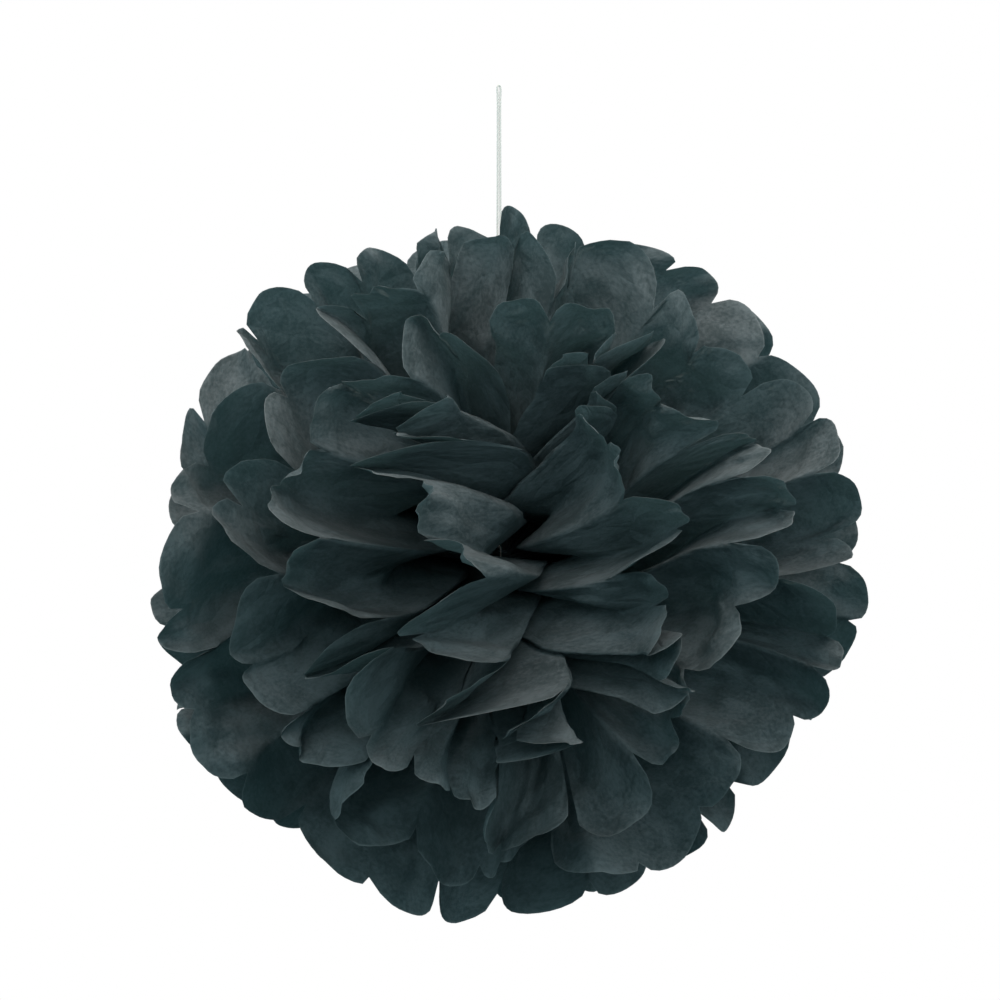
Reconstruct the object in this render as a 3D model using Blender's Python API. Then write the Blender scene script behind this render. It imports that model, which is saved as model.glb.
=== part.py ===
# A hanging pom pom made from a stack of tissue paper sheets: pleated together, tied round the waist,
# rounded at both ends, then pulled apart sheet by sheet until the pleats stand out as a ball of petals.
import math

import bmesh
import bpy
import numpy as np

# Driving dimensions, in metres.
BALL_RADIUS = 0.200          # from the tie to a petal's tip, half the folded strip's length
PANEL_WIDTH = 0.0455         # one pleat, crease to crease
NOTCH_DEPTHS = (0.007, 0.019)    # how far the rounded cut falls back from a tip to a crease
TIP_POWERS = (1.7, 3.4)      # how square a rounded tip is cut
HANG_DROP = 0.271            # from the top of the hanging loop down to the tie
PANELS = 16                  # pleats across one sheet

# Where the front half of the sheets points, from 0 at the front pole to 1 sideways. The back half mirrors it.
TIP_LAYERS = (0.17, 0.40, 0.63, 0.88)
INNER_LAYERS = (0.03, 0.30, 0.57, 0.86)    # halfway out, before the petals bend outward
SLIT_TURNS = (0.28, 0.20, 0.10, 0.0)       # radians that a sheet is turned round the flower's axis
TOP_LEANS = (0.0, -0.02, -0.05, -0.10)     # how far its top petals lean forward, off the thread
TOP_PETALS = 1.1             # radians from the top down to where that lean ends
SHEETS = 2 * len(TIP_LAYERS)

TISSUE_SOLID = 0.00036       # thickness of a sheet's solid; the paper itself is about 0.03 mm
WAIST_PITCH = 0.0012         # one sheet to the next inside the tie
WAIST_REACH = 0.0024         # flat length on each side of the middle that the tie holds level
WAIST_HALF_HEIGHT = 0.0080   # of the row of pleats inside the tie
WAIST_ARC = 0.95             # radians from the middle of that row, an arc, to either end
WAIST_PLEAT = 0.0004         # half the depth of a pleat there
WAIST_FADE = 0.050           # flat length by which the fans have spread from a row into a half circle
OPENING = 0.150              # flat length by which the sheets have spread from the tie to their own layers
WAIST_OPENING = 0.12         # how far they have spread at the tie itself, of 1
LOOSE = (0.05, 0.17)         # flat lengths between which the creases are let go
PINCH_SLOPE = 0.14           # how fast the pleats deepen as they leave the tie

TIE_THREAD = 0.0008          # diameter of the binding round the waist
TIE_HALF_HEIGHT = 0.0092     # to the binding's centre line, from the middle of the waist
TIE_HALF_DEPTH = 0.0066
TIE_SQUARE = 6               # 2 for an oval binding, more for a squarer one
TIE_KNOT = 2.3               # how many times as thick the binding is at its knot
TIE_STEPS = 28

THREAD_DIAMETER = 0.0008
THREAD_STEP = 0.026          # longest straight piece of the thread
BEND_STEPS = 3               # straight pieces between two chosen points where it bends
BEND_LENGTH = 0.003          # two such points are closer than this
PARTING = 0.0026             # the petals keep this far off the line of the thread
PARTED_BY = 0.030            # height above the tie where they do so fully
THREAD_HALF = (              # one strand, from the knot at the tie up to the bend at the top
    (0.0007, 0.0, -0.2604),
    (0.0008, 0.0, -0.2560),
    (0.0010, 0.0, -0.2480),
    (0.0011, 0.0, -0.2200),
    (0.0011, 0.0, -0.1700),
    (0.0011, 0.0, -0.1200),
    (0.0011, 0.0, -0.0700),
    (0.0011, 0.0, -0.0300),
    (0.0011, 0.0, -0.0100),
    (0.0014, 0.0, -0.0050),
    (0.0017, 0.0, -0.0021),
    (0.0012, 0.0, -0.0009),
)
THREAD_TOP = (0.0, 0.0, -0.0004)

ROW_STATIONS = (WAIST_REACH, 0.045, 0.100, 0.152)   # flat distances from the middle, of the inner rows
OVAL = 0.34                  # how long the front opening of the innermost sheet is, 0 for round
LANE = 0.60                  # the share of its own distance to the pole that a pleat may take up
CALM_DEPTH = 0.30            # closer to the pole than this the creases stay more evenly spaced
FLAT_SHARE = 0.28            # of the creases, those that have opened nearly flat
FLAT_FOLDS = (0.10, 0.45)    # how sharply those stay folded, of 1
SHARP_FOLDS = (0.80, 1.20)   # and the others
FOLD_WIDTH = 0.43            # share of a panel's width that a full fold takes up, to either side
SLIDE_SHARE = 0.3            # how far the other creases close up for the flat ones
LEAN = 0.03                  # how far a crease strays to the next layer, where sideways is 1
TIP_LEAN = 0.05              # and how much further at its tip
WANDER = 0.012               # slow straying along a sheet's edge
UNEVEN_REACH = 0.008         # between one petal's length and the next
BOWS = (-0.003, 0.009)       # how far a panel arches between its creases
CURL = 0.010                 # how far a petal's tip curls forward or back
END_CURL = 0.3               # the share of that in the first and the last sheet
BACK_LEAN = -0.4             # of a front sheet's top lean, for the sheet behind the thread
CURL_START = 0.12            # flat length where the tips start to curl
TIP_START = 0.13             # and where they start to stray
BEND_START = 0.10            # and where the petals start to bend outward
TURN_RAMP = (0.025, 0.140)   # flat lengths between which a sheet takes up its turn
DRIFT = 0.015                # the slow unevenness that all the sheets share
DRIFT_SIZE = 0.070           # and how far apart its bumps are
LEVEL_SHARE = 0.95           # how far that unevenness keeps the ball's outline
DRIFT_SEED = 11
SHEET_SEEDS = (519, 619, 182, 226, 444, 751, 851, 905)

HALF_PI = math.pi / 2
HUB = np.array((0.0, 0.0, -HANG_DROP))


def ramp(value, low, high):
    """0 below low, 1 above high, and smooth between them."""
    t = np.clip((value - low) / (high - low), 0.0, 1.0)
    return t * t * (3.0 - 2.0 * t)


def petal_direction(layer, around):
    """Unit vectors of a right-hand fan. layer: 0 front, 1 sideways, 2 back; around: 0 top to pi bottom."""
    depth = np.where(layer <= 1.0, layer, 2.0 - layer)
    across = HALF_PI * depth * np.sin(around)
    upward = HALF_PI * np.sqrt(depth**2 + (1.0 - depth**2) * OVAL**2) * np.cos(around)
    polar = np.hypot(across, upward)
    bearing = np.arctan2(upward, across)
    facing = np.where(layer <= 1.0, -1.0, 1.0)
    return np.stack(
        (np.sin(polar) * np.cos(bearing), facing * np.cos(polar), np.sin(polar) * np.sin(bearing)), axis=-1
    )


def stretch(layer, around):
    """How fast the direction turns with layer and with around, in radians."""
    step = 1e-3
    by_layer = petal_direction(layer + step, around) - petal_direction(layer - step, around)
    by_around = petal_direction(layer, around + step) - petal_direction(layer, around - step)
    return np.linalg.norm(by_layer, axis=-1) / (2 * step), np.linalg.norm(by_around, axis=-1) / (2 * step)


def soft_noise(rng, places, size, waves=7):
    """Smooth unevenness with bumps about size apart, from -1 to 1."""
    total = np.zeros(places.shape[:-1])
    for _ in range(waves):
        heading = rng.normal(size=places.shape[-1])
        heading *= rng.uniform(0.6, 1.5) * math.pi / size / np.linalg.norm(heading)
        total += np.sin(places @ heading + rng.uniform(0, 2 * math.pi))
    return total / math.sqrt(waves / 2) / 2


def fan_habit(sheet, side):
    """What one fan's creases do where the paper is free. The two fans of an end sheet match, side by side."""
    ends = sheet in (0, SHEETS - 1)
    rng = np.random.default_rng(SHEET_SEEDS[sheet] * 10 + int(side > 0 and not ends))
    creases = PANELS + 1
    flattened = rng.random(creases) < FLAT_SHARE
    fold = np.where(flattened, rng.uniform(*FLAT_FOLDS, creases), rng.uniform(*SHARP_FOLDS, creases))
    spread = np.sqrt(np.clip(1.0 - (FOLD_WIDTH * (fold[:-1] + fold[1:])) ** 2, 0.10, None))
    place = np.concatenate(([0.0], np.cumsum(spread))) * PANELS / spread.sum()
    return {
        "fold": fold,
        "slide": (place - np.arange(creases)) * SLIDE_SHARE,
        "lean": rng.uniform(-LEAN, LEAN, creases),
        "tip_lean": rng.uniform(-TIP_LEAN, TIP_LEAN, creases) * (0.0 if ends else 1.0),
        "reach": rng.uniform(-UNEVEN_REACH, UNEVEN_REACH, creases),
        "bow": rng.uniform(*BOWS, creases),
        "curl": rng.normal(0.0, CURL, creases) * (END_CURL if ends else 1.0),
        "wander": rng.uniform(0.0, 2 * math.pi, 2),
        "notch": rng.uniform(*NOTCH_DEPTHS, creases),
        "power": rng.uniform(*TIP_POWERS, creases),
        "facing": side if ends else 1.0,
    }


def tip_reach(habit, panel):
    """Flat length from the middle to the rounded end, for a place counted in panels."""
    number = np.floor(np.minimum(panel, PANELS - 1e-9)).astype(int)
    across = 2.0 * (panel - number) - 1.0
    round_end = np.sqrt(np.clip(1.0 - np.abs(across) ** habit["power"][number], 0.0, 1.0))
    creases = np.arange(PANELS + 1)
    notch = np.interp(panel, creases, habit["notch"])
    return BALL_RADIUS + np.interp(panel, creases, habit["reach"]) - notch * (1.0 - round_end)


def fluffed(sheet, side, habit, panel, reach):
    """Where a point of the flat sheet lies in the ball. panel counts pleats from the top, reach is flat."""
    creases = np.arange(PANELS + 1)
    free = ramp(reach, *LOOSE)
    opening = WAIST_OPENING + (1.0 - WAIST_OPENING) * ramp(reach, WAIST_REACH, OPENING)
    front = min(sheet, SHEETS - 1 - sheet)
    ahead = sheet == front
    inner, tip = INNER_LAYERS[front], TIP_LAYERS[front]
    bent = inner + (tip - inner) * ramp(reach, BEND_START, BALL_RADIUS)
    base_layer = 1.0 + (1.0 if ahead else -1.0) * (bent - 1.0) * opening
    base_depth = np.minimum(base_layer, 2.0 - base_layer)
    room = free * np.minimum(1.0, base_depth / CALM_DEPTH)

    around = math.pi * panel / PANELS
    by_layer, by_around = stretch(base_layer, around)
    by_layer = HALF_PI + (by_layer - HALF_PI) * ramp(reach, WAIST_FADE, OPENING)
    arc = reach * by_around * math.pi / PANELS
    slack = np.sqrt(np.clip(1.0 - (arc / PANEL_WIDTH) ** 2, 0.02, None))
    slide = np.interp(panel, creases, habit["slide"]) * room * slack
    around = math.pi * (panel + slide) / PANELS
    wander = sum(np.sin((k + 1.5) * around + p) for k, p in enumerate(habit["wander"]))
    lean = np.interp(panel, creases, habit["lean"]) + WANDER * wander
    lean = lean + np.interp(panel, creases, habit["tip_lean"]) * ramp(reach, TIP_START, BALL_RADIUS)
    top_lean = TOP_LEANS[front] * (1.0 if ahead else BACK_LEAN) * ramp(-around, -TOP_PETALS, 0.0) * free
    layer = base_layer + lean * habit["facing"] * room + top_lean

    depth = np.minimum(0.5 * PANEL_WIDTH * slack, WAIST_PLEAT + PINCH_SLOPE * (reach - WAIST_REACH))
    swing = np.minimum(depth / (reach * by_layer), LANE * base_depth)
    mountain = side * (-1.0) ** creases
    zigzag = np.interp(panel, creases, mountain)
    folded = zigzag + free * np.interp(panel, creases, mountain * (habit["fold"] - 1.0))
    across = panel - np.floor(np.minimum(panel, PANELS - 1e-9))
    bow = np.interp(panel, creases, habit["bow"]) * 4.0 * across * (1.0 - across) * room
    curl = np.interp(panel, creases, habit["curl"]) * ramp(reach, CURL_START, BALL_RADIUS) ** 2
    relief = (bow + curl) * habit["facing"]
    layer = layer + folded * swing + relief / (reach * np.maximum(by_layer, 1.0))

    held = 1.0 - ramp(reach, WAIST_REACH, WAIST_FADE)
    place = (reach - WAIST_REACH)[..., None] * petal_direction(layer, around)
    arc_radius = WAIST_HALF_HEIGHT / math.sin(WAIST_ARC)
    arc_turn = WAIST_ARC * (1.0 - 2.0 * panel / PANELS)
    bulge = arc_radius * (np.cos(arc_turn) - math.cos(WAIST_ARC))
    place[..., 0] = side * (place[..., 0] + WAIST_REACH + bulge * held)
    place[..., 1] += (sheet - (SHEETS - 1) / 2.0) * WAIST_PITCH + zigzag * WAIST_PLEAT * held
    place[..., 2] += arc_radius * np.sin(arc_turn) * held
    turn = SLIT_TURNS[front] * ramp(reach, *TURN_RAMP)
    return parted(drifted(turned(place, turn))) + HUB


def turned(place, turn):
    """Turns the paper round the flower's own axis, so that the slit between the fans leans to the left."""
    x, z = place[..., 0].copy(), place[..., 2].copy()
    place[..., 0] = x * np.cos(turn) - z * np.sin(turn)
    place[..., 2] = x * np.sin(turn) + z * np.cos(turn)
    return place


def drifted(place):
    """Slow unevenness that all the sheets share, so that neighbours move together."""
    rng = np.random.default_rng(DRIFT_SEED)
    distance = np.linalg.norm(place, axis=-1)
    shift = np.stack([soft_noise(rng, place, DRIFT_SIZE) for _ in range(3)], axis=-1)
    outward = place / np.maximum(distance, 1e-9)[..., None]
    shift -= LEVEL_SHARE * np.sum(shift * outward, axis=-1)[..., None] * outward
    return place + shift * (DRIFT * ramp(distance, WAIST_FADE, BALL_RADIUS))[..., None]


def parted(place):
    """Pushes the paper off the line that the thread takes, straight up from the tie."""
    off = np.hypot(place[..., 0], place[..., 1])
    push = PARTING * ramp(place[..., 2], WAIST_HALF_HEIGHT, PARTED_BY)
    place[..., :2] *= (np.sqrt(off**2 + push**2) / np.maximum(off, 1e-9))[..., None]
    return place


def material(name, colour, roughness, metallic=0.0):
    """A plain finish in the part's own colour."""
    made = bpy.data.materials.new(name)
    made.use_nodes = True
    shader = made.node_tree.nodes["Principled BSDF"]
    shader.inputs["Base Color"].default_value = (*colour, 1.0)
    shader.inputs["Roughness"].default_value = roughness
    shader.inputs["Metallic"].default_value = metallic
    return made


def add_object(name, data, finish):
    obj = bpy.data.objects.new(name, data)
    obj.data.materials.append(finish)
    bpy.context.scene.collection.objects.link(obj)
    return obj


def flat_sheet(bm):
    """The unfolded sheet as a grid: x counts panels, y is the signed flat distance from the middle."""
    stations = [*ROW_STATIONS, BALL_RADIUS]
    rows = sorted([-s for s in stations] + stations)
    bmesh.ops.create_grid(bm, x_segments=2 * PANELS, y_segments=len(rows) - 1, size=0.5)
    for vert in bm.verts:
        vert.co.x = (vert.co.x + 0.5) * PANELS
        vert.co.y = rows[round((vert.co.y + 0.5) * (len(rows) - 1))]
    ends = [e for e in bm.edges if all(abs(abs(v.co.y) - BALL_RADIUS) < 1e-9 for v in e.verts)]
    bmesh.ops.subdivide_edges(bm, edges=ends, cuts=1)
    bmesh.ops.triangulate(bm, faces=bm.faces, quad_method="ALTERNATE", ngon_method="BEAUTY")


def add_sheet(sheet, finish):
    """One sheet: cut flat, rounded at both ends, pleated and fluffed, then given its thickness."""
    bm = bmesh.new()
    flat_sheet(bm)
    bm.verts.ensure_lookup_table()
    flat = np.array([v.co for v in bm.verts], float)
    place = np.zeros_like(flat)
    for side in (-1.0, 1.0):
        habit = fan_habit(sheet, side)
        mine = flat[:, 1] * side > 0.0
        panel, reach = flat[mine, 0], np.abs(flat[mine, 1])
        end = tip_reach(habit, panel)
        reach = np.where(reach > BALL_RADIUS - 1e-9, end, reach)
        place[mine] = fluffed(sheet, side, habit, panel, reach)
    for vert, point in zip(bm.verts, place):
        vert.co = point
    bmesh.ops.recalc_face_normals(bm, faces=bm.faces)
    mesh = bpy.data.meshes.new(f"tissue_sheet_{sheet + 1:02d}")
    bm.to_mesh(mesh)
    bm.free()
    obj = add_object(mesh.name, mesh, finish)
    wall = obj.modifiers.new("tissue", "SOLIDIFY")
    wall.thickness = TISSUE_SOLID
    wall.offset = 0.0
    return obj


def add_cord(name, points, thickness, radii, closed, finish):
    """A round cord along the points, which are each given a share of the full thickness."""
    curve = bpy.data.curves.new(name, "CURVE")
    curve.dimensions = "3D"
    curve.bevel_depth = thickness / 2.0
    curve.bevel_resolution = 2
    curve.use_fill_caps = True
    spline = curve.splines.new("POLY")
    spline.points.add(len(points) - 1)
    spline.use_cyclic_u = closed
    for knot, point, radius in zip(spline.points, points, radii):
        knot.co = (*point, 1.0)
        knot.radius = radius
    spline.use_smooth = True
    return add_object(name, curve, finish)


def add_waist_tie(finish):
    """The binding lies in the plane between the fans, round all the sheets, with its knot on top."""
    points, radii = [], []
    for step in range(TIE_STEPS):
        turn = 2.0 * math.pi * step / TIE_STEPS
        up, back = math.cos(turn), math.sin(turn)
        square = (abs(up) ** TIE_SQUARE + abs(back) ** TIE_SQUARE) ** (-1.0 / TIE_SQUARE)
        points.append(HUB + np.array((0.0, TIE_HALF_DEPTH * back, TIE_HALF_HEIGHT * up)) * square)
        radii.append(1.0 + (TIE_KNOT - 1.0) * max(0.0, 1.0 - (min(step, TIE_STEPS - step) / 1.6) ** 2))
    add_cord("waist_tie", points, TIE_THREAD, radii, True, finish)


def thread_route():
    """A smooth line through the chosen points: up one strand, round the top and down the other."""
    route = [*THREAD_HALF, THREAD_TOP, *((-x, y, z) for x, y, z in reversed(THREAD_HALF))]
    route = np.array(route)
    ends = np.concatenate((2 * route[:1] - route[1:2], route, 2 * route[-1:] - route[-2:-1]))
    line = []
    for i in range(1, len(route)):
        before, start, end, after = ends[i - 1:i + 3]
        length = np.linalg.norm(end - start)
        steps = BEND_STEPS if length < BEND_LENGTH else math.ceil(length / THREAD_STEP)
        for t in np.arange(steps) / steps:
            line.append(0.5 * (
                2.0 * start + (end - before) * t + (2 * before - 5 * start + 4 * end - after) * t**2
                + (3 * start - before - 3 * end + after) * t**3
            ))
    return [*line, route[-1]]


def main():
    for obj in list(bpy.data.objects):
        bpy.data.objects.remove(obj, do_unlink=True)
    tissue = material("black_tissue", (0.045, 0.060, 0.063), 0.75)
    thread = material("white_thread", (0.80, 0.81, 0.80), 0.60)
    for sheet in range(SHEETS):
        add_sheet(sheet, tissue)
    add_waist_tie(thread)
    route = thread_route()
    add_cord("hanging_thread", route, THREAD_DIAMETER, [1.0] * len(route), False, thread)


main()
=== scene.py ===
import math

import bmesh
import bpy
import numpy as np
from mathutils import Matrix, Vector


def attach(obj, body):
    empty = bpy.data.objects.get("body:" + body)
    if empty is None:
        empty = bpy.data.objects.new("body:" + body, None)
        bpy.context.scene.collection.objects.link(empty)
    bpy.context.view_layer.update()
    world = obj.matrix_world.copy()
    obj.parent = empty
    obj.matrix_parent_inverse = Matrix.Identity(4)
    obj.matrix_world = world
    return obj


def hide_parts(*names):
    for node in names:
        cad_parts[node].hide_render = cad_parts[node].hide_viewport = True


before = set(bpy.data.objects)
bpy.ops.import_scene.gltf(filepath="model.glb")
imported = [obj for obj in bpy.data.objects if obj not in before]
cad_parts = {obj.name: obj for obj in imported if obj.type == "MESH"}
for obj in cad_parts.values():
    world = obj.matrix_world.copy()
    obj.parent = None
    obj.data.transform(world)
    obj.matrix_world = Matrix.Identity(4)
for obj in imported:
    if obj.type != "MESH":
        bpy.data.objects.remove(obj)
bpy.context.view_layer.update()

# Camera: level with the ball, a little to the left of the first sheet's own axis
photo = {
    "distance": 2.10,  # metres from the ball's middle
    "width": 0.563,  # metres across the picture at the ball
    "azimuth": -8.0,  # degrees, the first sheet faces a little to the right
    "elevation": -2.5,
    "ballAcross": 0.499,  # where the ball's middle falls, as shares of the picture from its top left corner
    "ballDown": 0.563,
    "sensor": 36.0,  # millimetres
}

ball = {
    "middle": (0.0, 0.0, -0.271),
    "radius": 0.200,
}


def placeCamera():
    turn, tip = math.radians(photo["azimuth"]), math.radians(photo["elevation"])
    toCamera = Vector((math.sin(turn) * math.cos(tip), -math.cos(turn) * math.cos(tip), math.sin(tip)))
    right = Vector((math.cos(turn), math.sin(turn), 0.0))
    up = toCamera.cross(right)
    aim = Vector(ball["middle"])
    aim += right * (0.5 - photo["ballAcross"]) * photo["width"]
    aim += up * (photo["ballDown"] - 0.5) * photo["width"]
    data = bpy.data.cameras.new("camera")
    data.sensor_width = photo["sensor"]
    data.lens = photo["sensor"] * photo["distance"] / photo["width"]
    camera = bpy.data.objects.new("camera", data)
    camera.location = aim + toCamera * photo["distance"]
    camera.rotation_euler = (-toCamera).to_track_quat("-Z", "Y").to_euler()
    bpy.context.scene.collection.objects.link(camera)
    bpy.context.scene.camera = camera


placeCamera()
bpy.context.scene.view_settings.view_transform = "Standard"


def toLinear(hexColour):
    levels = [int(hexColour[i:i + 2], 16) / 255.0 for i in (1, 3, 5)]
    return [c / 12.92 if c <= 0.04045 else ((c + 0.055) / 1.055) ** 2.4 for c in levels] + [1.0]


def addNode(tree, kind, settings=None, links=None, at=(0, 0)):
    # settings are the node's own values or its inputs' values; links give an input the output that feeds it
    node = tree.nodes.new(kind)
    node.location = at
    for key, value in (settings or {}).items():
        if isinstance(key, str) and hasattr(node, key):
            setattr(node, key, value)
        else:
            node.inputs[key].default_value = value
    for key, source in (links or {}).items():
        tree.links.new(source, node.inputs[key])
    return node


def newMaterial(name):
    material = bpy.data.materials.new(name)
    material.use_nodes = True
    return material, material.node_tree, material.node_tree.nodes["Principled BSDF"]


def linkObject(name, data, *materials):
    made = bpy.data.objects.new(name, data)
    for material in materials:
        made.data.materials.append(material)
    bpy.context.scene.collection.objects.link(made)
    return made


# Hanging thread: white cotton, doubled
thread = {
    "diameter": 0.0012,
    "colour": "#d8d4d1",
    # painted shade: the darker tone of the twist's bands, in the grooves between the plies
    "shade": "#cbc6c3",
    "plyLength": 0.0012,  # one turn of the twist
    "plyBands": 0.31,  # the wave texture's own scale for a band one metre long
    "plySlant": 0.9,  # radians
    "plyRelief": 0.0001,
    "loopTop": (0.0, 0.0, -0.0004),
    "strand": [  # one strand, from the knot at the tie up to the loop; the other mirrors it
        (0.0007, 0.0, -0.2604),
        (0.0008, 0.0, -0.2560),
        (0.0009, 0.0, -0.2480),
        (0.0010, 0.0, -0.2200),
        (0.0011, 0.0, -0.1700),
        (0.0010, 0.0, -0.1200),
        (0.0008, 0.0, -0.0700),
        (0.0007, 0.0, -0.0300),
        (0.0007, 0.0, -0.0100),
        (0.0008, 0.0, -0.0050),
        (0.0009, 0.0, -0.0025),
        (0.0007, 0.0, -0.0012),
    ],
}
otherStrand = [(-x, y, z) for x, y, z in reversed(thread["strand"])]
threadRoute = thread["strand"] + [thread["loopTop"]] + otherStrand


def cottonThread():
    # spun cotton: soft, matt and slightly hairy, so it has sheen and no gloss
    material, tree, shader = newMaterial("spunCotton")
    spot = addNode(tree, "ShaderNodeTexCoord", at=(-900, 0))
    turned = addNode(
        tree, "ShaderNodeMapping", {"Rotation": (0.0, thread["plySlant"], 0.0)},
        {"Vector": spot.outputs["Object"]}, (-700, 0),
    )
    bands = thread["plyBands"] / thread["plyLength"]
    ply = addNode(
        tree, "ShaderNodeTexWave",
        {"bands_direction": "Z", "Scale": bands, "Distortion": 1.5, "Detail": 2.0},
        {"Vector": turned.outputs["Vector"]}, (-500, 0),
    )
    # painted shade: the twist's bands are painted darker where the plies meet
    ramp = addNode(tree, "ShaderNodeValToRGB", {}, {"Fac": ply.outputs["Fac"]}, (-300, 0))
    ramp.color_ramp.elements[0].color = toLinear(thread["shade"])
    ramp.color_ramp.elements[1].color = toLinear(thread["colour"])
    tree.links.new(ramp.outputs["Color"], shader.inputs["Base Color"])
    bump = addNode(
        tree, "ShaderNodeBump", {"Strength": 0.1, "Distance": thread["plyRelief"]},
        {"Height": ply.outputs["Fac"]}, (-300, -250),
    )
    tree.links.new(bump.outputs["Normal"], shader.inputs["Normal"])
    shader.inputs["Roughness"].default_value = 0.8
    shader.inputs["Sheen Weight"].default_value = 0.3
    return material


def makeThread(material):
    curve = bpy.data.curves.new("whiteThread", "CURVE")
    curve.dimensions = "3D"
    curve.bevel_depth = thread["diameter"] / 2
    curve.bevel_resolution = 3
    curve.use_fill_caps = True
    curve.resolution_u = 6
    spline = curve.splines.new("BEZIER")
    spline.bezier_points.add(len(threadRoute) - 1)
    for knot, point in zip(spline.bezier_points, threadRoute):
        knot.co = point
        knot.handle_left_type = knot.handle_right_type = "AUTO"
    made = linkObject("whiteThread", curve, material)
    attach(made, "root")
    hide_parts("hanging_thread")


cotton = cottonThread()
makeThread(cotton)
for slotOfTie in bpy.data.objects["waist_tie"].material_slots:
    slotOfTie.material = cotton
print("thread and tie done")


# Tissue sheets: each is one sheet, a left fan and a right fan joined at the waist.
# A reach is how far out along the flat paper a place lies, in metres from the sheet's middle, and two of
# them say where a change starts and ends. Relief is how far the paper stands off its own pleat, in metres.
tissue = {
    # where the front sheets' tips point, from 0 at the front pole to 1 sideways; the back ones mirror them
    "frontLayers": (0.17, 0.40, 0.63, 0.88),
    "innerLayers": (0.03, 0.30, 0.57, 0.86),  # the same halfway out, before the petals bend outward
    "bendStart": 0.10,  # the reach where they start to
    # how far each front sheet's slit turns round the flower's axis, in radians
    "slitTurns": (0.28, 0.20, 0.10, 0.0),
    "slitReach": (0.025, 0.140),
    "topLeans": (0.0, -0.02, -0.05, -0.10),  # how far the top petals lean forward, off the thread
    "topLeanBehind": -0.4,  # and the back sheets' ones backward, as a share of that
    "topPetals": 1.1,  # radians down from the top

    "panels": 16,  # pleats across one sheet
    "panelWidth": 0.0455,
    "thickness": 0.00012,  # thick enough for the export; real tissue is a quarter of that
    "notchDepths": (0.008, 0.024),  # how far the rounded cut falls back from a tip to a crease
    "tipPowers": (1.3, 3.2),  # how square the rounded tips are
    "tipSpread": 0.008,  # how much further out or in the tips may lie

    "waistReach": 0.0024,  # the paper inside the tie
    "waistPitch": 0.0012,  # from one sheet to the next in there
    "waistHalfHeight": 0.0080,  # of the row of pleats in there
    "waistArc": 0.95,  # radians that the row bends round to either side of its middle
    "waistPleat": 0.0004,  # half the depth of its pleats
    "waistFade": 0.050,  # the reach where the row has spread out
    "waistOpening": 0.12,  # how far the layers have come apart at the tie, of 1
    "openedReach": 0.110,  # and the reach where they have all of it
    "pinchSlope": 0.8,  # how fast the pleats deepen as they leave the tie
    "looseReach": (0.05, 0.17),  # where the pleats are let go
    "rateReach": (0.05, 0.11),  # where a pleat starts to spread as its own layer lets it

    # the share of each sheet's creases that has opened nearly flat, and how close together the others stand
    "flatShares": (0.40, 0.42, 0.30, 0.28, 0.28, 0.28, 0.28, 0.28),
    "bunching": (3.0, 1.5, 1.0, 1.0, 1.0, 1.0, 1.0, 1.0),
    "flatFolds": (0.10, 0.45),  # depths of the flattened creases, of 1
    "fullFolds": (0.80, 1.20),  # and of the others
    "foldSteepness": 0.43,  # how much steeper a pleat stands for each of its two creases, as a sine
    "creaseRounding": 0.01,  # of a panel, to either side of a crease
    "looseRounding": 0.03,  # and how much more of it at the tips
    "roundingStart": 0.08,
    "leastSlack": 0.02,  # of 1, so that no pleat is ever pulled quite flat

    "oval": 0.31,  # 0 for round layers; the nearer to 1, the steeper their top and bottom petals stand
    "squash": 0.028,  # how much lower than wide the ball hangs
    "squashStart": 0.05,
    "lane": 0.72,  # how far a pleat may swing, as a share of the layers from there to the pole
    "parting": 0.0026,  # how far the paper keeps off the thread
    "partedHeight": 0.030,  # metres above the ball's middle where it has all of that
    "closing": 0.22,  # how far an end sheet's pleats swing over the pole, both fans the same way
    "closingReach": (0.04, 0.09),
    "closingLoss": 0.45,  # how much less they do at the top and bottom, of 1
    "closingBreadth": 1.5,  # the more of it, the narrower those two places
    "levelReach": (0.06, 0.11),  # where an end sheet's pleats start to swing level
    "levelShare": 0.8,
    "poleCalm": 0.30,  # layers from a pole within which the petals lean and bow less

    "lean": 0.03,  # layers that a crease may lean to either side
    "wander": 0.012,  # layers that each of two slow waves sways a whole fan
    "wanderWaves": 1.5,
    "tipLean": 0.05,  # layers that a tip may lean to either side
    "tipLeanStart": 0.13,
    "bow": (-0.003, 0.009),  # relief in the middle of a panel
    "curl": 0.010,  # usual relief of a tip, for a whole petal
    "curlStart": 0.12,
    "flop": 0.008,  # usual relief of a tip, for the middle of one panel
    "rimStart": 0.145,
    "dent": 0.0055,  # usual relief of a straight fold along a panel
    "dentPlaces": (0.25, 0.75),
    "dentStart": 0.06,
    # the share that the two end sheets have of these, and the share that the sheets between them have
    "endShares": {"tipLean": 0.0, "tipSpread": 1.0, "bow": 0.8, "curl": 0.3},
    "midShares": {"tipLean": 1.0, "tipSpread": 1.6, "bow": 1.2, "curl": 1.4},
    "panelSoftness": 0.3,  # how far over the next panel these pass into it, of 1
    "curlSoftness": 0.4,

    # pairs of relief and size, which is metres from one bump to the next
    "ruffles": ((0.00144, 0.045), (0.00072, 0.018)),
    "ridges": ((0.00264, 0.034), (0.00120, 0.014)),
    "facets": ((0.0065, 0.038), (0.0024, 0.019)),
    "frills": ((0.0030, 0.011),),  # of the cut edges
    "facetHeights": 64,  # how many different heights the crushed facets have, each way
    "facetWarp": 0.35,  # how far the lines between them bend, as a share of a facet
    "drift": 0.015,  # metres, the slow unevenness that all the sheets share
    "driftSize": 0.070,
    "driftStart": 0.05,
    "driftHeld": 0.95,  # how much of its part in and out is left away, of 1, so that the ball stays round

    "columns": 12,  # faces across one pleat
    "rows": 46,  # faces from the middle to a tip
    "rowPower": 0.9,  # below 1 for shorter faces toward the tips
    "sheetSeeds": (124, 154, 182, 226, 444, 751, 851, 933),
    "driftSeed": 11,
}
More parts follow.
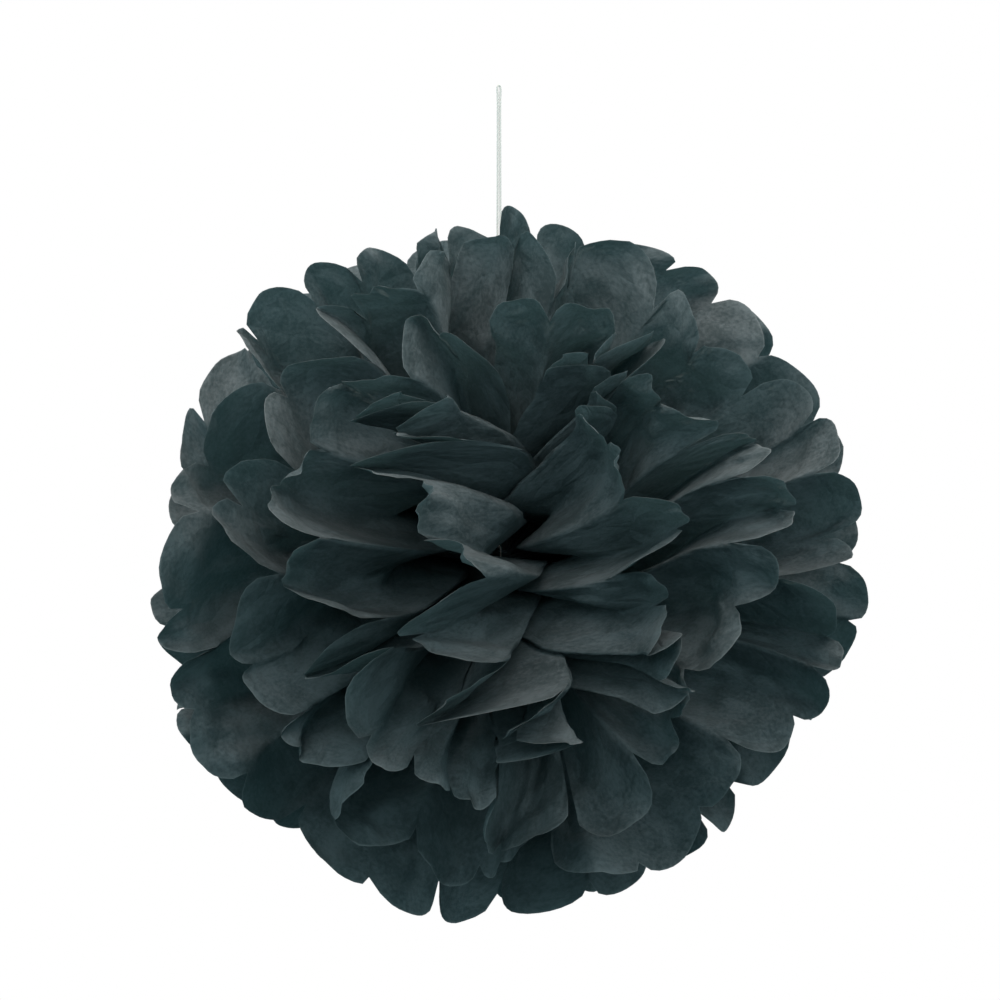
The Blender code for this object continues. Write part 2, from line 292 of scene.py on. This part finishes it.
tissue["sheets"] = 2 * len(tissue["frontLayers"])


def smoothStep(value, low, high):
    t = np.clip((value - low) / (high - low), 0.0, 1.0)
    return t * t * (3.0 - 2.0 * t)


def petalDirection(layer, around, heightLayer, endSpread):
    # layer runs 0 at the front pole, 1 sideways and 2 at the back pole;
    # around runs 0 at the top to pi at the bottom
    depth = np.where(layer <= 1.0, layer, 2.0 - layer)
    height = np.where(heightLayer <= 1.0, heightLayer, 2.0 - heightLayer)
    across = math.pi / 2 * depth * (endSpread + (1.0 - endSpread) * np.sin(around))
    upward = math.pi / 2 * np.sqrt(height**2 + (1.0 - height**2) * tissue["oval"]**2) * np.cos(around)
    polar = np.hypot(across, upward)
    bearing = np.arctan2(upward, across)
    facing = np.where(layer <= 1.0, -1.0, 1.0)
    return np.stack(
        (np.sin(polar) * np.cos(bearing), facing * np.cos(polar), np.sin(polar) * np.sin(bearing)), axis=-1
    )


def turnRates(layer, around, level, endSpread):
    # radians that a petal's direction turns for each layer, and for each radian around
    step = 1e-3
    lift = step * (1.0 - level)
    byLayer = petalDirection(layer + step, around, layer + lift, endSpread)
    byLayer = byLayer - petalDirection(layer - step, around, layer - lift, endSpread)
    byAround = petalDirection(layer, around + step, layer, 0.0)
    byAround = byAround - petalDirection(layer, around - step, layer, 0.0)
    return np.linalg.norm(byLayer, axis=-1) / (2 * step), np.linalg.norm(byAround, axis=-1) / (2 * step)


def softNoise(rng, places, size, waves=7):
    # smooth unevenness with bumps about size metres apart, mostly from -1 to 1
    total = np.zeros(places.shape[:-1])
    for _ in range(waves):
        heading = rng.normal(size=places.shape[-1])
        heading *= rng.uniform(0.6, 1.5) * math.pi / size / np.linalg.norm(heading)
        total += np.sin(places @ heading + rng.uniform(0, 2 * math.pi))
    return total / math.sqrt(waves / 2) / 2


def sharpRidges(rng, places, size):
    return 0.5 - np.abs(softNoise(rng, places, size))


def crushedFacets(rng, places, size):
    # flat three-cornered facets about size metres across with straight folds between them, from -1 to 1
    count = tissue["facetHeights"]
    turn = rng.uniform(0.0, math.pi)
    heights = rng.uniform(-1.0, 1.0, (count, count))
    x = (places[..., 0] * math.cos(turn) + places[..., 1] * math.sin(turn)) / size
    y = (places[..., 1] * math.cos(turn) - places[..., 0] * math.sin(turn)) / size
    x = x + tissue["facetWarp"] * softNoise(rng, places, 2.0 * size)
    y = y + tissue["facetWarp"] * softNoise(rng, places, 2.0 * size)
    skew = (x + y) * (math.sqrt(3.0) - 1.0) / 2.0
    column, row = np.floor(x + skew).astype(int), np.floor(y + skew).astype(int)
    a, b = x + skew - column, y + skew - row
    near = heights[column % count, row % count]
    far = heights[(column + 1) % count, (row + 1) % count]
    beside = np.where(
        a > b, heights[(column + 1) % count, row % count], heights[column % count, (row + 1) % count]
    )
    return near + (beside - near) * np.maximum(a, b) + (far - beside) * np.minimum(a, b)


def summed(noise, rng, places, pairs):
    return sum(relief * noise(rng, places, size) for relief, size in pairs)


def isEndSheet(sheet):
    return sheet in (0, tissue["sheets"] - 1)


def fanRng(sheet, side, purpose):
    # the two fans of an end sheet match, so that they can close over the middle
    ownFan = int(side > 0 and not isEndSheet(sheet))
    return np.random.default_rng(tissue["sheetSeeds"][sheet] * 10 + purpose + ownFan)


def fanHabit(sheet, side):
    # one value for each crease, or for the panel after it
    endSheet = isEndSheet(sheet)
    shares = tissue["endShares"] if endSheet else tissue["midShares"]
    rng = fanRng(sheet, side, 0)
    creases = tissue["panels"] + 1
    flattened = rng.random(creases) < tissue["flatShares"][sheet]
    flatFold = rng.uniform(*tissue["flatFolds"], creases)
    fold = np.where(flattened, flatFold, rng.uniform(*tissue["fullFolds"], creases))
    steepness = tissue["foldSteepness"] * (fold[:-1] + fold[1:])
    spread = np.sqrt(np.clip(1.0 - steepness**2, 0.10, None)) ** tissue["bunching"][sheet]
    place = np.concatenate(([0.0], np.cumsum(spread))) * tissue["panels"] / spread.sum()

    def eitherWay(name):
        return rng.uniform(-tissue[name], tissue[name], creases)

    return {
        "fold": fold,
        "slide": place - np.arange(creases),
        "lean": eitherWay("lean"),
        "tipLean": eitherWay("tipLean") * shares["tipLean"],
        "reach": eitherWay("tipSpread") * shares["tipSpread"],
        "bow": rng.uniform(*tissue["bow"], creases) * shares["bow"],
        "curl": rng.normal(0.0, tissue["curl"], creases) * shares["curl"],
        "wander": rng.uniform(0.0, 2 * math.pi, 2),
        "ends": float(endSheet),
        "closing": tissue["closing"] if endSheet else 0.0,
        "facing": side if endSheet else 1.0,
        "notch": rng.uniform(*tissue["notchDepths"], creases),
        "power": rng.uniform(*tissue["tipPowers"], creases),
        "flop": rng.normal(0.0, tissue["flop"], creases),
        "dent": rng.normal(0.0, tissue["dent"], creases),
        "dentPlace": rng.uniform(*tissue["dentPlaces"], creases),
    }


def acrossCreases(values, panel, soft):
    # straight from crease to crease, with the fold rounded over soft panels to either side
    creases = np.arange(tissue["panels"] + 1)
    total = 0.0
    for offset, weight in ((-1.0, 0.15), (-0.5, 0.2), (0.0, 0.3), (0.5, 0.2), (1.0, 0.15)):
        total = total + weight * np.interp(panel + offset * soft, creases, values)
    return total


def panelNumber(panel):
    return np.floor(np.minimum(panel, tissue["panels"] - 1e-9)).astype(int)


def tipReach(habit, panel):
    number = panelNumber(panel)
    across = 2.0 * (panel - number) - 1.0
    roundEnd = np.sqrt(np.clip(1.0 - np.abs(across) ** habit["power"][number], 0.0, 1.0))
    notch = acrossCreases(habit["notch"], panel, 0.0)
    further = acrossCreases(habit["reach"], panel, tissue["panelSoftness"])
    return ball["radius"] + further - notch * (1.0 - roundEnd)


def reliefOf(sheet, side, habit, panel, reach, free, room):
    radius = ball["radius"]
    number = panelNumber(panel)
    across = panel - number
    arch = 4.0 * across * (1.0 - across)
    bow = acrossCreases(habit["bow"], panel, tissue["panelSoftness"]) * arch * room
    curl = acrossCreases(habit["curl"], panel, tissue["curlSoftness"])
    curl = curl * smoothStep(reach, tissue["curlStart"], radius) ** 2
    ridge = habit["dentPlace"][number]
    dent = habit["dent"][number] * np.minimum(across / ridge, (1.0 - across) / (1.0 - ridge))
    dent = dent * smoothStep(reach, tissue["dentStart"], radius)
    rim = smoothStep(reach, tissue["rimStart"], radius) ** 2
    flop = habit["flop"][number] * arch * rim

    flat = np.stack((panel * tissue["panelWidth"], reach), axis=-1)
    rng = fanRng(sheet, side, 2)
    crumple = summed(softNoise, rng, flat, tissue["ruffles"])
    crumple = crumple + summed(sharpRidges, rng, flat, tissue["ridges"])
    frill = summed(softNoise, rng, flat, tissue["frills"]) * rim
    facets = summed(crushedFacets, fanRng(sheet, side, 5), flat, tissue["facets"])
    return (bow + curl + flop + dent + frill + (crumple + facets) * free) * habit["facing"]


def fluffed(sheet, side, habit, panel, reach):
    # where the places on one flat fan go when the tied stack is peeled apart
    radius, panels, width = ball["radius"], tissue["panels"], tissue["panelWidth"]
    waist, waistOpening = tissue["waistReach"], tissue["waistOpening"]
    free = smoothStep(reach, *tissue["looseReach"])
    opening = waistOpening + (1.0 - waistOpening) * smoothStep(reach, waist, tissue["openedReach"])
    front = min(sheet, tissue["sheets"] - 1 - sheet)
    facing = 1.0 if sheet == front else -1.0
    inner, tip = tissue["innerLayers"][front], tissue["frontLayers"][front]
    bent = inner + (tip - inner) * smoothStep(reach, tissue["bendStart"], radius)
    baseLayer = 1.0 + facing * (bent - 1.0) * opening
    baseDepth = np.minimum(baseLayer, 2.0 - baseLayer)
    room = free * np.minimum(1.0, baseDepth / tissue["poleCalm"])
    soft = tissue["looseRounding"] * smoothStep(reach, tissue["roundingStart"], radius)
    soft = tissue["creaseRounding"] + soft

    # near the pole an end sheet's pleats swing level, so that its two fans stay side by side
    level = habit["ends"] * smoothStep(reach, *tissue["levelReach"])
    endSpread = tissue["levelShare"] * level
    around = math.pi * panel / panels
    byLayer, byAround = turnRates(baseLayer, around, level, endSpread)
    byLayer = math.pi / 2 + (byLayer - math.pi / 2) * smoothStep(reach, *tissue["rateReach"])
    slack = 1.0 - (reach * byAround * math.pi / panels / width) ** 2
    slack = np.sqrt(np.clip(slack, tissue["leastSlack"], None))
    around = math.pi * (panel + acrossCreases(habit["slide"], panel, soft) * free * slack) / panels

    # which way each place leans
    wander = sum(np.sin((k + tissue["wanderWaves"]) * around + p) for k, p in enumerate(habit["wander"]))
    lean = acrossCreases(habit["lean"], panel, soft) + tissue["wander"] * wander
    tipLean = acrossCreases(habit["tipLean"], panel, tissue["panelSoftness"])
    lean = lean + tipLean * smoothStep(reach, tissue["tipLeanStart"], radius)
    topLean = tissue["topLeans"][front] * (1.0 if sheet == front else tissue["topLeanBehind"])
    topLean = topLean * smoothStep(tissue["topPetals"] - around, 0.0, tissue["topPetals"]) * free
    layer = baseLayer + lean * habit["facing"] * room + topLean

    # the pleats, as deep as the slack paper between two creases lets them be
    depth = 0.5 * width * slack
    depth = np.minimum(depth, tissue["waistPleat"] + tissue["pinchSlope"] * (reach - waist))
    endCalm = 1.0 - np.minimum(1.0, tissue["closingBreadth"] * np.sin(np.clip(around, 0.0, math.pi)))
    closing = habit["closing"] * smoothStep(reach, *tissue["closingReach"])
    closing = closing * (1.0 - tissue["closingLoss"] * endCalm)
    swing = np.minimum(depth / (reach * byLayer), tissue["lane"] * baseDepth + closing)
    mountain = side * (-1.0) ** np.arange(panels + 1)
    zigzag = acrossCreases(mountain, panel, soft)
    folded = zigzag + free * acrossCreases(mountain * (habit["fold"] - 1.0), panel, soft)
    relief = reliefOf(sheet, side, habit, panel, reach, free, room)
    layer = layer + folded * swing + relief / (reach * np.maximum(byLayer, 1.0))
    heightLayer = layer + (baseLayer - layer) * level

    # out to the ball, with the row of pleats that the tie holds in the middle
    held = 1.0 - smoothStep(reach, waist, tissue["waistFade"])
    place = (reach - waist)[..., None] * petalDirection(layer, around, heightLayer, endSpread)
    arcRadius = tissue["waistHalfHeight"] / math.sin(tissue["waistArc"])
    arcTurn = tissue["waistArc"] * (1.0 - 2.0 * panel / panels)
    bulge = arcRadius * (np.cos(arcTurn) - math.cos(tissue["waistArc"]))
    inStack = (sheet - (tissue["sheets"] - 1) / 2.0) * tissue["waistPitch"]
    place[..., 0] = side * (place[..., 0] + waist + bulge * held)
    place[..., 1] += inStack + zigzag * tissue["waistPleat"] * held
    place[..., 2] += arcRadius * np.sin(arcTurn) * held
    place[..., 2] *= 1.0 - tissue["squash"] * smoothStep(reach, tissue["squashStart"], radius)
    turn = tissue["slitTurns"][front] * smoothStep(reach, *tissue["slitReach"])
    x, z = place[..., 0].copy(), place[..., 2].copy()
    place[..., 0] = x * np.cos(turn) - z * np.sin(turn)
    place[..., 2] = x * np.sin(turn) + z * np.cos(turn)
    return parted(drifted(place)) + np.array(ball["middle"])


def drifted(place):
    # every sheet drifts the same way at one place, so that neighbours stay apart
    rng = np.random.default_rng(tissue["driftSeed"])
    distance = np.linalg.norm(place, axis=-1)
    grow = smoothStep(distance, tissue["driftStart"], ball["radius"]) * tissue["drift"]
    shift = np.stack([softNoise(rng, place, tissue["driftSize"]) for _ in range(3)], axis=-1)
    outward = place / np.maximum(distance, 1e-9)[..., None]
    shift -= tissue["driftHeld"] * np.sum(shift * outward, axis=-1)[..., None] * outward
    return place + shift * grow[..., None]


def parted(place):
    # the paper keeps off the thread's line, straight up from the tie
    off = np.hypot(place[..., 0], place[..., 1])
    above = smoothStep(place[..., 2], tissue["waistHalfHeight"], tissue["partedHeight"])
    push = tissue["parting"] * above
    place[..., :2] *= (np.sqrt(off**2 + push**2) / np.maximum(off, 1e-9))[..., None]
    return place


def makeTissueSheet(sheet, material):
    # a flat grid, one row of faces in the tie and the others out to the tips, moved to its place on the ball
    panels, rows = tissue["panels"], tissue["rows"]
    bm = bmesh.new()
    bmesh.ops.create_grid(bm, x_segments=panels * tissue["columns"], y_segments=2 * rows + 1, size=0.5)
    mesh = bpy.data.meshes.new(f"tissueSheet{sheet + 1:02d}")
    bm.to_mesh(mesh)
    bm.free()
    flat = np.empty(len(mesh.vertices) * 3)
    mesh.vertices.foreach_get("co", flat)
    flat = flat.reshape(-1, 3)
    panel = (flat[:, 0] + 0.5) * panels
    row = np.round((flat[:, 1] + 0.5) * (2 * rows + 1)) - rows - 0.5
    share = (np.abs(row) - 0.5) / rows
    place = np.zeros_like(flat)
    paper = np.zeros((len(flat), 2))
    for side in (-1.0, 1.0):
        mine = row * side > 0
        habit = fanHabit(sheet, side)
        end = tipReach(habit, panel[mine])
        reach = tissue["waistReach"] + (end - tissue["waistReach"]) * share[mine] ** tissue["rowPower"]
        place[mine] = fluffed(sheet, side, habit, panel[mine], reach)
        paper[mine] = np.stack((panel[mine] * tissue["panelWidth"], side * reach), axis=-1)
    mesh.vertices.foreach_set("co", place.ravel())
    corners = np.empty(len(mesh.loops), dtype=np.int32)
    mesh.loops.foreach_get("vertex_index", corners)
    onPaper = mesh.uv_layers.new(name="onPaper")
    onPaper.data.foreach_set("uv", paper[corners].ravel())
    # marks the last row of faces before the cut edge, where the material paints a highlight
    cutEdge = mesh.attributes.new("cutEdge", "FLOAT", "POINT")
    cutEdge.data.foreach_set("value", np.clip(share * rows - rows + 1.0, 0.0, 1.0))
    mesh.shade_smooth()
    made = linkObject(mesh.name, mesh, material)
    wall = made.modifiers.new("paper", "SOLIDIFY")
    wall.thickness = tissue["thickness"]
    wall.offset = 0.0
    made.modifiers.new("flatShading", "WEIGHTED_NORMAL")
    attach(made, "root")
    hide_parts(f"tissue_sheet_{sheet + 1:02d}")


paperLook = {
    "thin": "#404a4d",
    "thick": "#697175",
    "tones": (0.42, 0.58),  # how much fibre still looks thin and how much already looks thick, of 1
    "edge": "#84898c",  # painted highlight on the cut edges, where they catch a little more light
    "edgePower": 9.0,  # the more of it, the narrower they look
    "fibre": 0.0022,  # metres, length of the cloudy patches of fibre
    "patches": 0.09,  # how many broad patches there are for each of those, along a line
    "patchShare": 0.45,  # of the broad ones in the cloudiness
    "crushes": 0.016,  # metres between the fine creases of handling
    "crushWidth": 0.35,  # how far a crease's slope runs, as a share of that
    "crushBend": 0.008,  # metres that the creases wander off a straight line
    "crinkles": 0.6,  # relief of the finest crinkles, as a share of the creases'
    "relief": 0.0012,
    "glow": "#849a9c",  # what little light comes through a sheet
    "glowShare": 0.42,
}


def tissuePaper():
    # dyed tissue paper: thin, matt and cloudy with fibre, with fine creases of handling and a painted
    # highlight along the cut edges
    material, tree, shader = newMaterial("dyedTissuePaper")
    spot = addNode(tree, "ShaderNodeUVMap", {"uv_map": "onPaper"}, at=(-1700, 0))
    cloud = addNode(
        tree, "ShaderNodeTexNoise", {"Scale": 1 / paperLook["fibre"], "Detail": 6.0, "Roughness": 0.7},
        {"Vector": spot.outputs["UV"]}, (-900, 300),
    )
    patchScale = paperLook["patches"] / paperLook["fibre"]
    patch = addNode(
        tree, "ShaderNodeTexNoise", {"Scale": patchScale, "Detail": 3.0, "Roughness": 0.6},
        {"Vector": spot.outputs["UV"]}, (-900, 550),
    )
    both = addNode(
        tree, "ShaderNodeMix", {"data_type": "FLOAT", "Factor": paperLook["patchShare"]},
        {"A": cloud.outputs["Fac"], "B": patch.outputs["Fac"]}, (-700, 400),
    )
    tone = addNode(tree, "ShaderNodeValToRGB", {}, {"Fac": both.outputs["Result"]}, (-500, 300))
    for stop, amount, colour in zip(tone.color_ramp.elements, paperLook["tones"], ("thin", "thick")):
        stop.position = amount
        stop.color = toLinear(paperLook[colour])
    # painted highlight: the last row of faces before the cut edge is painted lighter, where the edges catch
    # the light
    cut = addNode(tree, "ShaderNodeAttribute", {"attribute_name": "cutEdge"}, at=(-900, 800))
    rim = addNode(
        tree, "ShaderNodeMath", {"operation": "POWER", 1: paperLook["edgePower"]},
        {0: cut.outputs["Fac"]}, (-700, 800),
    )
    paint = addNode(
        tree, "ShaderNodeMix", {"data_type": "RGBA", "B": toLinear(paperLook["edge"])},
        {"Factor": rim.outputs["Value"], "A": tone.outputs["Color"]}, (-250, 300),
    )
    tree.links.new(paint.outputs["Result"], shader.inputs["Base Color"])

    warp = addNode(
        tree, "ShaderNodeTexNoise", {"Scale": 60.0, "Detail": 2.0},
        {"Vector": spot.outputs["UV"]}, (-1500, -200),
    )
    bend = paperLook["crushBend"]
    bent = addNode(
        tree, "ShaderNodeVectorMath", {"operation": "MULTIPLY_ADD", 1: (bend, bend, 0.0)},
        {0: warp.outputs["Color"], 2: spot.outputs["UV"]}, (-1300, -200),
    )
    crushes = addNode(
        tree, "ShaderNodeTexVoronoi",
        {"feature": "DISTANCE_TO_EDGE", "Scale": 1 / paperLook["crushes"], "Randomness": 1.0},
        {"Vector": bent.outputs["Vector"]}, (-1100, -200),
    )
    crush = addNode(
        tree, "ShaderNodeMapRange",
        {"From Min": 0.0, "From Max": paperLook["crushWidth"], "To Min": 0.0, "To Max": 1.0},
        {"Value": crushes.outputs["Distance"]}, (-900, -200),
    )
    crinkle = addNode(
        tree, "ShaderNodeTexNoise", {"Scale": 150.0, "Detail": 5.0, "Roughness": 0.6, "Distortion": 0.6},
        {"Vector": spot.outputs["UV"]}, (-1100, -500),
    )
    height = addNode(
        tree, "ShaderNodeMath", {"operation": "MULTIPLY_ADD", 1: paperLook["crinkles"]},
        {0: crinkle.outputs["Fac"], 2: crush.outputs["Result"]}, (-700, -300),
    )
    bump = addNode(
        tree, "ShaderNodeBump", {"Strength": 0.5, "Distance": paperLook["relief"]},
        {"Height": height.outputs["Value"]}, (-400, -200),
    )
    tree.links.new(bump.outputs["Normal"], shader.inputs["Normal"])
    through = addNode(
        tree, "ShaderNodeBsdfTranslucent", {"Color": toLinear(paperLook["glow"])},
        {"Normal": bump.outputs["Normal"]}, (0, -400),
    )
    mixed = addNode(
        tree, "ShaderNodeMixShader", {0: paperLook["glowShare"]},
        {1: shader.outputs["BSDF"], 2: through.outputs["BSDF"]}, (300, 0),
    )
    tree.links.new(mixed.outputs["Shader"], tree.nodes["Material Output"].inputs["Surface"])
    shader.inputs["Roughness"].default_value = 0.95
    shader.inputs["IOR"].default_value = 1.45
    return material


paper = tissuePaper()
for sheetNumber in range(tissue["sheets"]):
    makeTissueSheet(sheetNumber, paper)
print("tissue sheets done")


# Room: a white floor well below the ball, a white surround for the camera and three soft lamps
room = {
    "floorHeight": -0.95,
    "floorSize": 5.0,
    "white": "#ffffff",
    "dim": "#384a4e",  # what light the floor sends back up to the ball
    "skyLight": "#d4ebec",  # the even light of the surround, from above
    "lowLight": "#a0ced2",  # the dimmer, cooler light from below, which fills the shadows
    "skyRise": (-0.3, 0.6),  # how high the one starts to pass into the other and ends, 1 being overhead
    "skyStrength": 1.48,
    "lampLight": "#ffe8dc",
    "lamps": {  # place, size and power
        "keyLamp": ((-0.5, -1.6, 1.2), 2.4, 4.0),
        "fillLamp": ((1.4, -1.6, 0.5), 2.0, 3.0),
        "topLamp": ((0.1, -0.6, 1.5), 2.4, 44.0),
    },
}


def makeFloor():
    bm = bmesh.new()
    bmesh.ops.create_grid(bm, x_segments=1, y_segments=1, size=room["floorSize"] / 2)
    bmesh.ops.translate(bm, verts=bm.verts, vec=(0.0, 0.0, room["floorHeight"]))
    mesh = bpy.data.meshes.new("floor")
    bm.to_mesh(mesh)
    bm.free()
    # matt painted floor: white to the camera and dim to the ball, so that the underside stays dark
    material, tree, shader = newMaterial("paleFloor")
    path = addNode(tree, "ShaderNodeLightPath")
    paint = addNode(
        tree, "ShaderNodeMix",
        {"data_type": "RGBA", "A": toLinear(room["dim"]), "B": toLinear(room["white"])},
        {"Factor": path.outputs["Is Camera Ray"]},
    )
    tree.links.new(paint.outputs["Result"], shader.inputs["Base Color"])
    shader.inputs["Roughness"].default_value = 0.9
    linkObject("floor", mesh, material)


def makeSurround():
    world = bpy.data.worlds.new("whiteRoom")
    world.use_nodes = True
    bpy.context.scene.world = world
    tree = world.node_tree
    tree.nodes.clear()
    path = addNode(tree, "ShaderNodeLightPath")
    seen = addNode(tree, "ShaderNodeBackground", {"Color": toLinear(room["white"]), "Strength": 1.0})
    way = addNode(tree, "ShaderNodeTexCoord")
    parts = addNode(tree, "ShaderNodeSeparateXYZ", {}, {"Vector": way.outputs["Object"]})
    low, high = room["skyRise"]
    rise = addNode(
        tree, "ShaderNodeMapRange", {"From Min": low, "From Max": high}, {"Value": parts.outputs["Z"]},
    )
    shade = addNode(
        tree, "ShaderNodeMix",
        {"data_type": "RGBA", "A": toLinear(room["lowLight"]), "B": toLinear(room["skyLight"])},
        {"Factor": rise.outputs["Result"]},
    )
    lit = addNode(
        tree, "ShaderNodeBackground", {"Strength": room["skyStrength"]}, {"Color": shade.outputs["Result"]},
    )
    mix = addNode(
        tree, "ShaderNodeMixShader", {},
        {0: path.outputs["Is Camera Ray"], 1: lit.outputs[0], 2: seen.outputs[0]},
    )
    addNode(tree, "ShaderNodeOutputWorld", {}, {"Surface": mix.outputs[0]})


def addLamp(name, place, size, power):
    data = bpy.data.lights.new(name, "AREA")
    data.size = size
    data.energy = power
    data.color = toLinear(room["lampLight"])[:3]
    lamp = bpy.data.objects.new(name, data)
    lamp.location = place
    lamp.rotation_euler = (Vector(ball["middle"]) - lamp.location).to_track_quat("-Z", "Y").to_euler()
    bpy.context.scene.collection.objects.link(lamp)


makeFloor()
makeSurround()
for lampName, lampValues in room["lamps"].items():
    addLamp(lampName, *lampValues)
print("room done")
